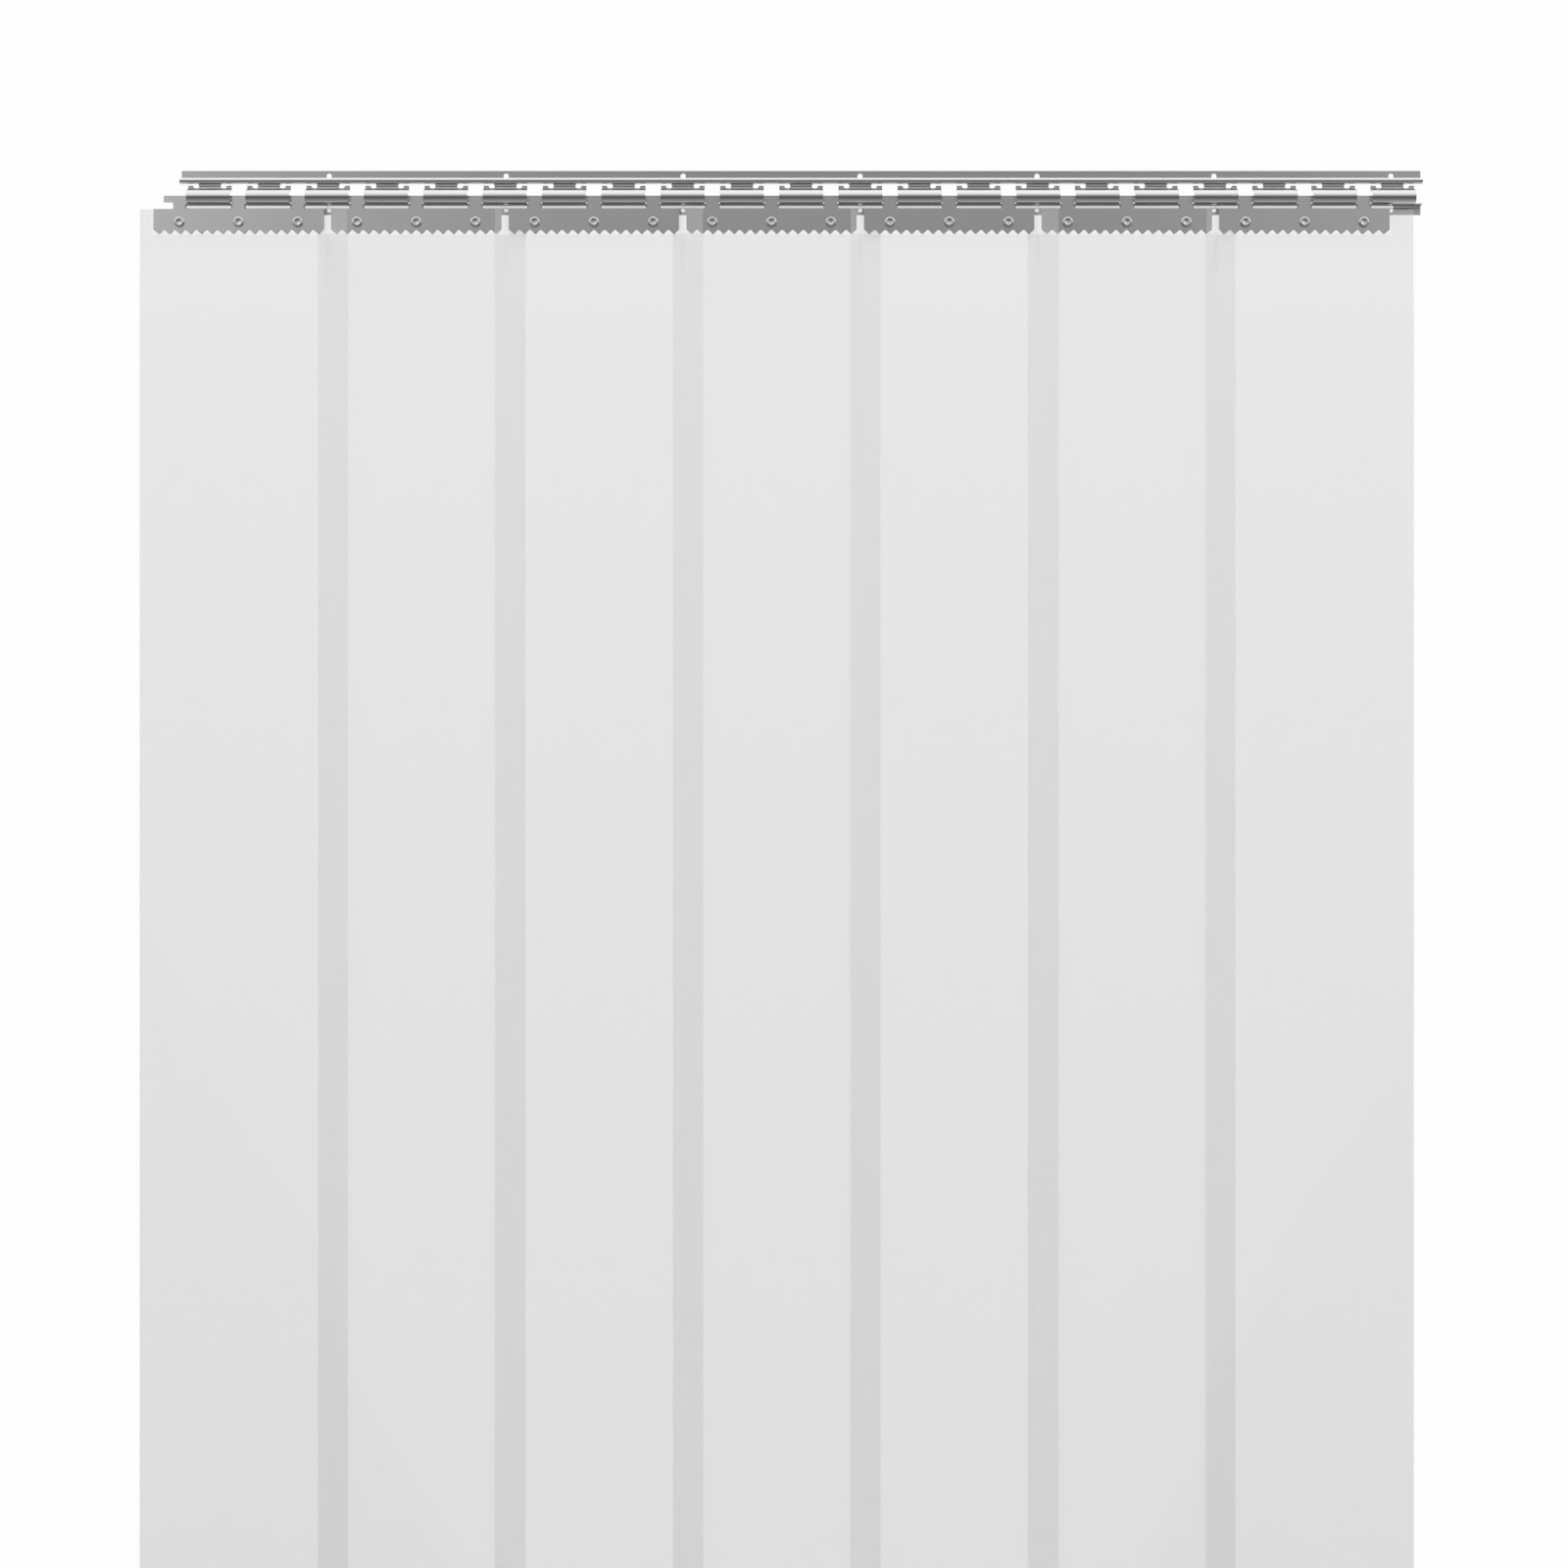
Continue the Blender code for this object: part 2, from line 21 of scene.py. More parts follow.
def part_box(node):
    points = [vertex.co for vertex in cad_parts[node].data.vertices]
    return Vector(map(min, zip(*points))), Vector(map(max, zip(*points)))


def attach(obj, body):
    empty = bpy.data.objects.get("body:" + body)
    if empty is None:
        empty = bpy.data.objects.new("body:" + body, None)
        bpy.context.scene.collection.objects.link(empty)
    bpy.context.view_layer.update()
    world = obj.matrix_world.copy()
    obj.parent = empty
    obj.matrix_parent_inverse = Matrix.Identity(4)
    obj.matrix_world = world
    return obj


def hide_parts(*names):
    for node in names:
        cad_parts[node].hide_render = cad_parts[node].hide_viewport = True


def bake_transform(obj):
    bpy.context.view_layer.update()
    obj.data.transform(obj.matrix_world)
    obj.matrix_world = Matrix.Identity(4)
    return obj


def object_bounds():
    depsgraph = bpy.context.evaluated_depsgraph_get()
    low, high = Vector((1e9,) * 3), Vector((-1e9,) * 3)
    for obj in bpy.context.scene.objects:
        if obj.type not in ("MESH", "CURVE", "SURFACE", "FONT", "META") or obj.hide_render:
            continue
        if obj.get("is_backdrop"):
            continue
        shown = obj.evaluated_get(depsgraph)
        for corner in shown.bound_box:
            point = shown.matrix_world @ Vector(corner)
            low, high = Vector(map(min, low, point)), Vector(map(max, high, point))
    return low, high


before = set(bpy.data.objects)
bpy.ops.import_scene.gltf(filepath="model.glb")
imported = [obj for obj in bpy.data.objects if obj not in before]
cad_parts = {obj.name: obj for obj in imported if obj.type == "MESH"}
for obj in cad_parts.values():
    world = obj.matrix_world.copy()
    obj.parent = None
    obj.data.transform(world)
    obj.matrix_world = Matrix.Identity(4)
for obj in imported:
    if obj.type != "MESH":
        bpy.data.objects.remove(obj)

log = logging.getLogger("strip_curtain")

Colour = tuple[float, float, float]
Triple = tuple[float, float, float]
Point = tuple[float, float]

BLACK = (0.0, 0.0, 0.0)
WHITE = (1.0, 1.0, 1.0)

# Places closer together than this are the same when corners are picked
NEAR = 0.00005

# Vertices closer together than this are merged
MERGE = 0.00001

# Nearly every value of a noise lies in this range
NOISE_SPAN = (0.3, 0.7)


# Hand tools


def pick(thing: bpy.types.Object) -> None:
    """Make a piece the only one that is selected, and the active one."""
    bpy.ops.object.select_all(action="DESELECT")
    thing.select_set(True)
    bpy.context.view_layer.objects.active = thing


@contextmanager
def edit_mode(thing: bpy.types.Object) -> Iterator[None]:
    """Pick a piece and keep it in edit mode for the length of a with block."""
    pick(thing)
    bpy.ops.object.mode_set(mode="EDIT")
    yield
    bpy.ops.object.mode_set(mode="OBJECT")


def near(value: float, target: float) -> bool:
    """Tell whether a place lies at the one that is meant."""
    return abs(value - target) < NEAR


def select_vertices(wanted: Callable[[Vector], bool]) -> None:
    """Select, in edit mode, the vertices whose place passes a test."""
    bpy.ops.mesh.select_all(action="DESELECT")
    bpy.ops.mesh.select_mode(type="VERT")
    shape = bmesh.from_edit_mesh(bpy.context.active_object.data)
    for vertex in shape.verts:
        if wanted(vertex.co):
            vertex.select = True
    shape.select_flush(True)
    bmesh.update_edit_mesh(bpy.context.active_object.data)


def face_outwards(merge: bool = False) -> None:
    """Turn the faces of the piece in edit mode outwards, once its doubled vertices are merged if need be."""
    bpy.ops.mesh.select_all(action="SELECT")
    if merge:
        bpy.ops.mesh.remove_doubles(threshold=MERGE)
    bpy.ops.mesh.normals_make_consistent(inside=False)


def apply_modifier(thing: bpy.types.Object, kind: str, **settings: object) -> None:
    """Add a modifier with its settings to a piece and apply it.

    Args:
        thing: The piece.
        kind: The modifier's type, such as SOLIDIFY.
        **settings: The modifier's properties.
    """
    pick(thing)
    step = thing.modifiers.new(kind.title(), kind)
    for name, value in settings.items():
        setattr(step, name, value)
    bpy.ops.object.modifier_apply(modifier=step.name)


def trace_line(name: str, points: Sequence[Vector]) -> bpy.types.Object:
    """Trace a line by extruding a vertex from point to point, and stay in edit mode.

    Args:
        name: The new piece's name.
        points: The line's points.

    Returns:
        The piece.
    """
    bpy.ops.object.select_all(action="DESELECT")
    bpy.ops.mesh.primitive_plane_add(size=0.001)
    thing = bpy.context.active_object
    thing.name = thing.data.name = name
    bpy.ops.object.mode_set(mode="EDIT")
    bpy.ops.mesh.select_all(action="SELECT")
    bpy.ops.mesh.merge(type="CENTER")
    bpy.ops.transform.translate(value=points[0])
    for here, there in pairwise(points):
        bpy.ops.mesh.extrude_vertices_move(TRANSFORM_OT_translate={"value": there - here})
    return thing


def trace_outline(name: str, outline: Sequence[Point], y: float) -> bpy.types.Object:
    """Trace a closed outline and fill it with a face.

    Args:
        name: The new piece's name.
        outline: The corners as (x, z) pairs.
        y: The depth of the plane that the outline lies in.

    Returns:
        The flat piece.
    """
    thing = trace_line(name, [Vector((x, y, z)) for x, z in outline])
    bpy.ops.mesh.select_all(action="DESELECT")
    shape = bmesh.from_edit_mesh(thing.data)
    shape.verts.ensure_lookup_table()
    for end in (vertex for vertex in shape.verts if len(vertex.link_edges) < 2):
        end.select = True
    shape.select_flush(True)
    bmesh.update_edit_mesh(thing.data)
    bpy.ops.mesh.edge_face_add()
    bpy.ops.mesh.select_all(action="SELECT")
    bpy.ops.mesh.edge_face_add()
    bpy.ops.object.mode_set(mode="OBJECT")
    return thing


def round_corners(thing: bpy.types.Object, radius: float, steps: int, corners: Callable[[Vector], bool]) -> None:
    """Round some corners of a flat piece.

    Args:
        thing: The flat piece.
        radius: How far from the corner the rounding starts.
        steps: How many facets a corner gets.
        corners: The test of a corner's place.
    """
    with edit_mode(thing):
        select_vertices(corners)
        bpy.ops.mesh.bevel(offset=radius, segments=steps, affect="VERTICES", clamp_overlap=True)


def flare_edges(
    thing: bpy.types.Object, along: Callable[[Vector], bool], centre: Vector, turn: float, steps: int, reach: float
) -> None:
    """Bend the rim along some upper edges of a flat piece back about a line along X.

    Args:
        thing: The flat piece.
        along: The test of the places of the edges' ends.
        centre: A point of the line.
        turn: The angle of the bend in degrees.
        steps: How many facets it gets.
        reach: How far the rim runs straight on after the bend.
    """
    lean = math.radians(turn)
    onward = (0.0, reach * math.sin(lean), reach * math.cos(lean))
    with edit_mode(thing):
        select_vertices(along)
        bpy.ops.mesh.spin(steps=steps, angle=lean, axis=(1.0, 0.0, 0.0), center=centre)
        bpy.ops.mesh.extrude_region_move(TRANSFORM_OT_translate={"value": onward})
        face_outwards(merge=True)


def thicken(thing: bpy.types.Object, reach: float) -> None:
    """Extrude a flat piece along Y into a plate with its faces pointing out."""
    with edit_mode(thing):
        bpy.ops.mesh.select_all(action="SELECT")
        bpy.ops.mesh.extrude_region_move(TRANSFORM_OT_translate={"value": (0.0, reach, 0.0)})
        face_outwards()


def drill_bit(name: str, centre: Vector, diameter: float, length: float, sides: int = 32) -> bpy.types.Object:
    """Make a round cutter that runs along Y.

    Args:
        name: The cutter's name.
        centre: Its middle.
        diameter: Its diameter.
        length: Its length.
        sides: How many sides it has.

    Returns:
        The cutter, at the origin with its place in its mesh.
    """
    bpy.ops.object.select_all(action="DESELECT")
    bpy.ops.mesh.primitive_cylinder_add(
        vertices=sides, radius=diameter / 2, depth=length, location=centre, rotation=(math.pi / 2, 0.0, 0.0)
    )
    thing = bpy.context.active_object
    thing.name = name
    bpy.ops.object.transform_apply(location=True, rotation=True, scale=True)
    return thing


def repeat_along_x(thing: bpy.types.Object, count: int, pitch: float) -> None:
    """Repeat a cutter along the rail."""
    apply_modifier(
        thing, "ARRAY", count=count, use_relative_offset=False,
        use_constant_offset=True, constant_offset_displace=(pitch, 0.0, 0.0),
    )


def cut(thing: bpy.types.Object, cutter: bpy.types.Object) -> None:
    """Take a cutter's shape out of a piece and throw the cutter away."""
    apply_modifier(thing, "BOOLEAN", operation="DIFFERENCE", solver="EXACT", object=cutter, use_self=False)
    bpy.data.objects.remove(cutter, do_unlink=True)


def break_edges(thing: bpy.types.Object, width: float, steps: int = 2, angle: float = 50.0) -> None:
    """Break the sharp edges of a sheet piece, as its deburring does, and shade its curves smooth.

    Args:
        thing: The piece.
        width: The width of the broken edge.
        steps: How many facets it gets.
        angle: The least angle of an edge that is broken, in degrees.
    """
    apply_modifier(
        thing, "BEVEL", width=width, segments=steps, limit_method="ANGLE", angle_limit=math.radians(angle),
        use_clamp_overlap=True, harden_normals=False,
    )
    shade(thing)
    apply_modifier(thing, "WEIGHTED_NORMAL", mode="FACE_AREA", weight=50, keep_sharp=True)


def shade(thing: bpy.types.Object, angle: float = 35.0) -> None:
    """Shade a piece smooth across edges up to an angle, in degrees."""
    pick(thing)
    bpy.ops.object.shade_smooth_by_angle(angle=math.radians(angle))


def copy_piece(thing: bpy.types.Object, name: str, shift: Vector) -> bpy.types.Object:
    """Copy a piece with a mesh of its own, and move the copy's mesh to its place.

    Args:
        thing: The piece to copy.
        name: The copy's name.
        shift: How far it moves.

    Returns:
        The copy.
    """
    mesh = thing.data.copy()
    mesh.name = name
    mesh.transform(Matrix.Translation(shift))
    copy = bpy.data.objects.new(name, mesh)
    bpy.context.scene.collection.objects.link(copy)
    return copy


def hand_over(thing: bpy.types.Object, body: str, slot: str, finish: bpy.types.Material, *nodes: str) -> None:
    """Give a finished piece its material, let it ride on its body and stand for its nodes.

    Args:
        thing: The piece.
        body: The body that carries it.
        slot: Not used.
        finish: Its material.
        *nodes: The nodes that it replaces.
    """
    thing.data.materials.clear()
    thing.data.materials.append(finish)
    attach(thing, body)
    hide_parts(*nodes)
    log.info("%s rides on %s, with %d faces", thing.name, body, len(thing.data.polygons))


def ease(share: float) -> float:
    """Ease a share in and out, between 0 and 1."""
    share = min(max(share, 0.0), 1.0)
    return share * share * (3 - 2 * share)


# Finishes


class NodeBoard:
    """Lays out the nodes of one material or of the world."""

    def __init__(self, tree: bpy.types.NodeTree) -> None:
        """Start on a tree."""
        self.tree = tree

    def add(self, kind: str, settings: dict[str, object] | None = None, **sockets: object) -> bpy.types.Node:
        """Add a node.

        Args:
            kind: The node's class name, without its ShaderNode start.
            settings: Its properties.
            **sockets: Values, or sockets of other nodes, for its inputs, with _ for a space in a name.

        Returns:
            The node.
        """
        node = self.tree.nodes.new("ShaderNode" + kind)
        for name, value in (settings or {}).items():
            setattr(node, name, value)
        for name, value in sockets.items():
            key = int(name[1:]) if name[0] == "i" and name[1:].isdigit() else name.replace("_", " ")
            if isinstance(value, bpy.types.NodeSocket):
                self.tree.links.new(value, node.inputs[key])
            else:
                node.inputs[key].default_value = value
        return node

    def stretch(
        self, value: bpy.types.NodeSocket, source: Point, target: Point = (0.0, 1.0), smooth: bool = False
    ) -> bpy.types.NodeSocket:
        """Map a value from one range to another.

        Args:
            value: The socket to read.
            source: The range that it has.
            target: The range that it gets, held at its ends.
            smooth: Whether it eases in and out.

        Returns:
            The mapped value's socket.
        """
        kind = "SMOOTHSTEP" if smooth else "LINEAR"
        node = self.add(
            "MapRange", {"interpolation_type": kind}, Value=value,
            From_Min=source[0], From_Max=source[1], To_Min=target[0], To_Max=target[1],
        )
        return node.outputs[0]

    def sum(self, kind: str, first: object, second: object) -> bpy.types.NodeSocket:
        """Work out a sum of two values or sockets, such as their ADD or MULTIPLY."""
        return self.add("Math", {"operation": kind}, i0=first, i1=second).outputs[0]

    def choose(self, share: bpy.types.NodeSocket, first: object, second: object) -> bpy.types.NodeSocket:
        """Go from one value or socket to another as a share goes from 0 to 1."""
        return self.add("Mix", {"data_type": "FLOAT"}, Factor=share, i2=first, i3=second).outputs[0]

    def noise(
        self, place: bpy.types.NodeSocket, scale: float, detail: float, roughness: float = 0.5
    ) -> bpy.types.NodeSocket:
        """Add a noise of some scale, with finer noises on it of some detail and roughness."""
        return self.add("TexNoise", Vector=place, Scale=scale, Detail=detail, Roughness=roughness).outputs["Fac"]

    def grey(self, value: bpy.types.NodeSocket, dark: Colour, light: Colour) -> bpy.types.NodeSocket:
        """Turn a value between 0 and 1 into a colour between two.

        Args:
            value: The socket to read.
            dark: The colour at 0.
            light: The colour at 1.

        Returns:
            The colour's socket.
        """
        node = self.add("Mix", {"data_type": "RGBA"}, Factor=value)
        node.inputs[6].default_value = (*dark, 1.0)
        node.inputs[7].default_value = (*light, 1.0)
        return node.outputs[2]


class Brushing(Enum):
    """Which way a steel face was brushed, as the stretch of its grain along X, Y and Z."""

    LENGTHWISE = (6.0, 900.0, 900.0)
    UPRIGHT = (900.0, 900.0, 10.0)
    TURNED = (260.0, 260.0, 260.0)


def new_material(name: str) -> tuple[bpy.types.Material, NodeBoard, bpy.types.Node]:
    """Start a material.

    Args:
        name: The material's name.

    Returns:
        The material, its board and its Principled shader.
    """
    material = bpy.data.materials.new(name)
    material.use_nodes = True
    board = NodeBoard(material.node_tree)
    return material, board, material.node_tree.nodes["Principled BSDF"]


@dataclass(frozen=True)
class BrushedStainless:
    """Stainless sheet with fine brushing, faint rolling marks and clouded gloss.

    grain and cloud are how far hairs and clouds shift its tone, and spread how far hairs shift its roughness.
    """

    name: str
    brushing: Brushing
    tone: float = 0.58
    tone_range: float = 0.15
    blue: float = 1.01
    roughness: float = 0.26
    grain: float = 0.008
    cloud: float = 0.015
    cloud_scale: float = 14.0
    spread: float = 0.008
    relief: float = 0.012
    hair_depth: float = 0.00004
    hair_share: float = 0.6
    band_share: float = 0.4
    band_scale: float = 0.22
    streak_span: Point = (0.32, 0.68)

    def mix(self) -> bpy.types.Material:
        """Mix the material."""
        material, board, shader = new_material(self.name)
        link = material.node_tree.links.new
        place = board.add("TexCoord").outputs["Object"]
        fine = board.add("Mapping", Vector=place, Scale=self.brushing.value).outputs["Vector"]
        hairs = board.noise(fine, 1.0, 5.0, 0.65)
        wide = [scale * self.band_scale for scale in self.brushing.value]
        coarse = board.add("Mapping", Vector=place, Scale=wide).outputs["Vector"]
        bands = board.noise(coarse, 1.0, 3.0)
        clouds = board.noise(place, self.cloud_scale, 3.0, 0.55)
        streaks = board.sum("ADD", board.sum("MULTIPLY", hairs, self.hair_share),
                            board.sum("MULTIPLY", bands, self.band_share))
        mixed = board.sum("ADD", board.stretch(streaks, self.streak_span, (-self.grain, self.grain)),
                          board.stretch(clouds, NOISE_SPAN, (-self.cloud, self.cloud)))
        dark, light = self.tone * (1 - self.tone_range), self.tone * (1 + self.tone_range)
        tint = board.grey(board.stretch(mixed, (-self.tone_range, self.tone_range)),
                          (dark, dark, dark * self.blue), (light, light, light * self.blue))
        link(tint, shader.inputs["Base Color"])
        link(board.stretch(streaks, NOISE_SPAN, (self.roughness - self.spread, self.roughness + self.spread)),
             shader.inputs["Roughness"])
        bump = board.add("Bump", Strength=self.relief, Distance=self.hair_depth, Height=streaks)
        link(bump.outputs["Normal"], shader.inputs["Normal"])
        shader.inputs["Metallic"].default_value = 1.0
        return material


@dataclass(frozen=True)
class SoftPvc:
    """Soft translucent PVC: milky where it hangs free, clear where it lies close over steel.

    It turns milky over the heights of teeth_ramp. The margins that stand out past the row of plates are milky as
    well: the left one all the way up, and the right one from the rail's lower flange down. tones and opacities
    are those of clear and of milky PVC. Sight passes two faces of the sheet, so each has a share of the opacity.
    """

    name: str
    plate_ends: Point
    teeth_ramp: Point = (-0.0560, -0.0611)
    flange_ramp: Point = (-0.0393, -0.0410)
    margin_ease: float = 0.004
    tones: Point = (0.70, 0.692)
    opacities: Point = (0.134, 0.43)
    gloss: Point = (0.29, 0.33)
    light_passes: float = 0.74
    drawing: Triple = (120.0, 40.0, 1.4)
    line_veil: float = 0.004
    haze_veil: float = 0.010
    haze_scale: float = 5.0
    veil_opacity: float = 0.8
    waves: Triple = (18.0, 18.0, 3.0)
    line_relief: float = 0.01
    relief: float = 0.06
    wave_depth: float = 0.0006
    refraction: float = 1.53
    shine: float = 0.35

    def mix(self) -> bpy.types.Material:
        """Mix the material."""
        material, board, shader = new_material(self.name)
        link = material.node_tree.links.new
        place = board.add("TexCoord").outputs["Object"]
        free = self.hanging_free(board, place)
        drawn = board.add("Mapping", Vector=place, Scale=self.drawing).outputs["Vector"]
        lines = board.noise(drawn, 1.0, 4.0, 0.6)
        haze = board.noise(place, self.haze_scale, 3.0)
        veil = board.sum("ADD", board.stretch(lines, NOISE_SPAN, (-self.line_veil, self.line_veil)),
                         board.stretch(haze, NOISE_SPAN, (-self.haze_veil, self.haze_veil)))
        tone = board.stretch(board.sum("ADD", free, veil), (0.0, 1.0), self.tones)
        link(board.grey(tone, BLACK, WHITE), shader.inputs["Base Color"])
        veiled = board.sum("ADD", free, board.sum("MULTIPLY", veil, self.veil_opacity))
        link(board.stretch(veiled, (0.0, 1.0), self.opacities), shader.inputs["Alpha"])
        link(board.stretch(lines, NOISE_SPAN, self.gloss), shader.inputs["Roughness"])
        waved = board.add("Mapping", Vector=place, Scale=self.waves).outputs["Vector"]
        ripple = board.noise(waved, 1.0, 2.0, 0.4)
        skin = board.sum("ADD", board.sum("MULTIPLY", lines, self.line_relief), ripple)
        bump = board.add("Bump", Strength=self.relief, Distance=self.wave_depth, Height=skin)
        link(bump.outputs["Normal"], shader.inputs["Normal"])
        shader.inputs["IOR"].default_value = self.refraction
        shader.inputs["Specular IOR Level"].default_value = self.shine
        self.let_light_through(material, board, shader)
        return material

    def hanging_free(self, board: NodeBoard, place: bpy.types.NodeSocket) -> bpy.types.NodeSocket:
        """Tell the sheet that hangs free, 1, from the sheet over steel, 0.

        Args:
            board: The material's board.
            place: The socket of the sheet's places.

        Returns:
            The share's socket.
        """
        parts = board.add("SeparateXYZ", Vector=place)
        along, height = parts.outputs["X"], parts.outputs["Z"]
        left, right = self.plate_ends
        below = board.stretch(height, self.teeth_ramp, smooth=True)
        left_margin = board.stretch(along, (left, left - self.margin_ease))
        right_margin = board.sum("MULTIPLY", board.stretch(along, (right, right + self.margin_ease)),
                                 board.stretch(height, self.flange_ramp, smooth=True))
        return board.sum("MAXIMUM", below, board.sum("MAXIMUM", left_margin, right_margin))

    def let_light_through(self, material: bpy.types.Material, board: NodeBoard, shader: bpy.types.Node) -> None:
        """Let part of the light that falls on the sheet pass to what is behind it, as milky PVC does.

        Args:
            material: The material.
            board: Its board.
            shader: Its Principled shader.
        """
        path = board.add("LightPath")
        carried = board.sum("MAXIMUM", path.outputs["Is Shadow Ray"], path.outputs["Is Diffuse Ray"])
        share = board.sum("MULTIPLY", carried, self.light_passes)
        opening = board.add("BsdfTransparent")
        output = next(node for node in material.node_tree.nodes if node.type == "OUTPUT_MATERIAL")
        blend = board.add("MixShader", i0=share, i1=shader.outputs[0], i2=opening.outputs[0])
        material.node_tree.links.new(blend.outputs[0], output.inputs["Surface"])


@dataclass(frozen=True)
class StudioFloor:
    """A pale sweep that runs out into the white room, and keeps the shadow of what hangs over it."""

    name: str = "pale_sweep"
    tone: float = 0.90
    speckle: float = 0.006
    speckle_scale: float = 60.0
    fade: Point = (1.1, 2.4)
    roughness: float = 0.9
    shine: float = 0.1

    def mix(self) -> bpy.types.Material:
        """Mix the material."""
        material, board, shader = new_material(self.name)
        link = material.node_tree.links.new
        place = board.add("TexCoord").outputs["Object"]
        parts = board.add("SeparateXYZ", Vector=place)
        flat = board.add("CombineXYZ", X=parts.outputs["X"], Y=parts.outputs["Y"])
        distance = board.add("VectorMath", {"operation": "LENGTH"}, i0=flat.outputs[0]).outputs["Value"]
        grain = board.noise(place, self.speckle_scale, 4.0)
        tone = board.stretch(grain, NOISE_SPAN, (self.tone - self.speckle, self.tone + self.speckle))
        link(board.grey(tone, BLACK, WHITE), shader.inputs["Base Color"])
        shader.inputs["Roughness"].default_value = self.roughness
        shader.inputs["Specular IOR Level"].default_value = self.shine
        link(board.stretch(distance, self.fade, (1.0, 0.0), smooth=True), shader.inputs["Alpha"])
        return material


# Sub-assemblies


class RollFormer:
    """Draws a strip of sheet through its bends, one after another, all about lines along X."""

    def __init__(self, height: float, depth: float) -> None:
        """Start at a level edge, heading down.

        Args:
            height: The height of the edge.
            depth: How far the sheet's middle lies out from the wall.
        """
        self.height = height
        self.depth = depth
        self.heading = -math.pi / 2

    def run(self, length: float) -> None:
        """Extrude the leading edge straight on."""
        step = Vector((0.0, -length * math.cos(self.heading), length * math.sin(self.heading)))
        bpy.ops.mesh.extrude_region_move(TRANSFORM_OT_translate={"value": step})
        self.depth -= step.y
        self.height += step.z

    def bend(self, radius: float, turn: float, steps: int) -> None:
        """Spin the leading edge round a bend.

        Args:
            radius: The radius of the sheet's middle.
            turn: The angle of the bend in degrees, positive to the left.
            steps: How many facets it gets.
        """
        side = math.copysign(1.0, turn)
        depth = self.depth - side * radius * math.sin(self.heading)
        height = self.height + side * radius * math.cos(self.heading)
        bpy.ops.mesh.spin(steps=steps, angle=math.radians(abs(turn)), axis=(side, 0.0, 0.0),
                          center=(0.0, -depth, height))
        self.heading += math.radians(turn)
        self.depth = depth + side * radius * math.sin(self.heading)
        self.height = height - side * radius * math.cos(self.heading)


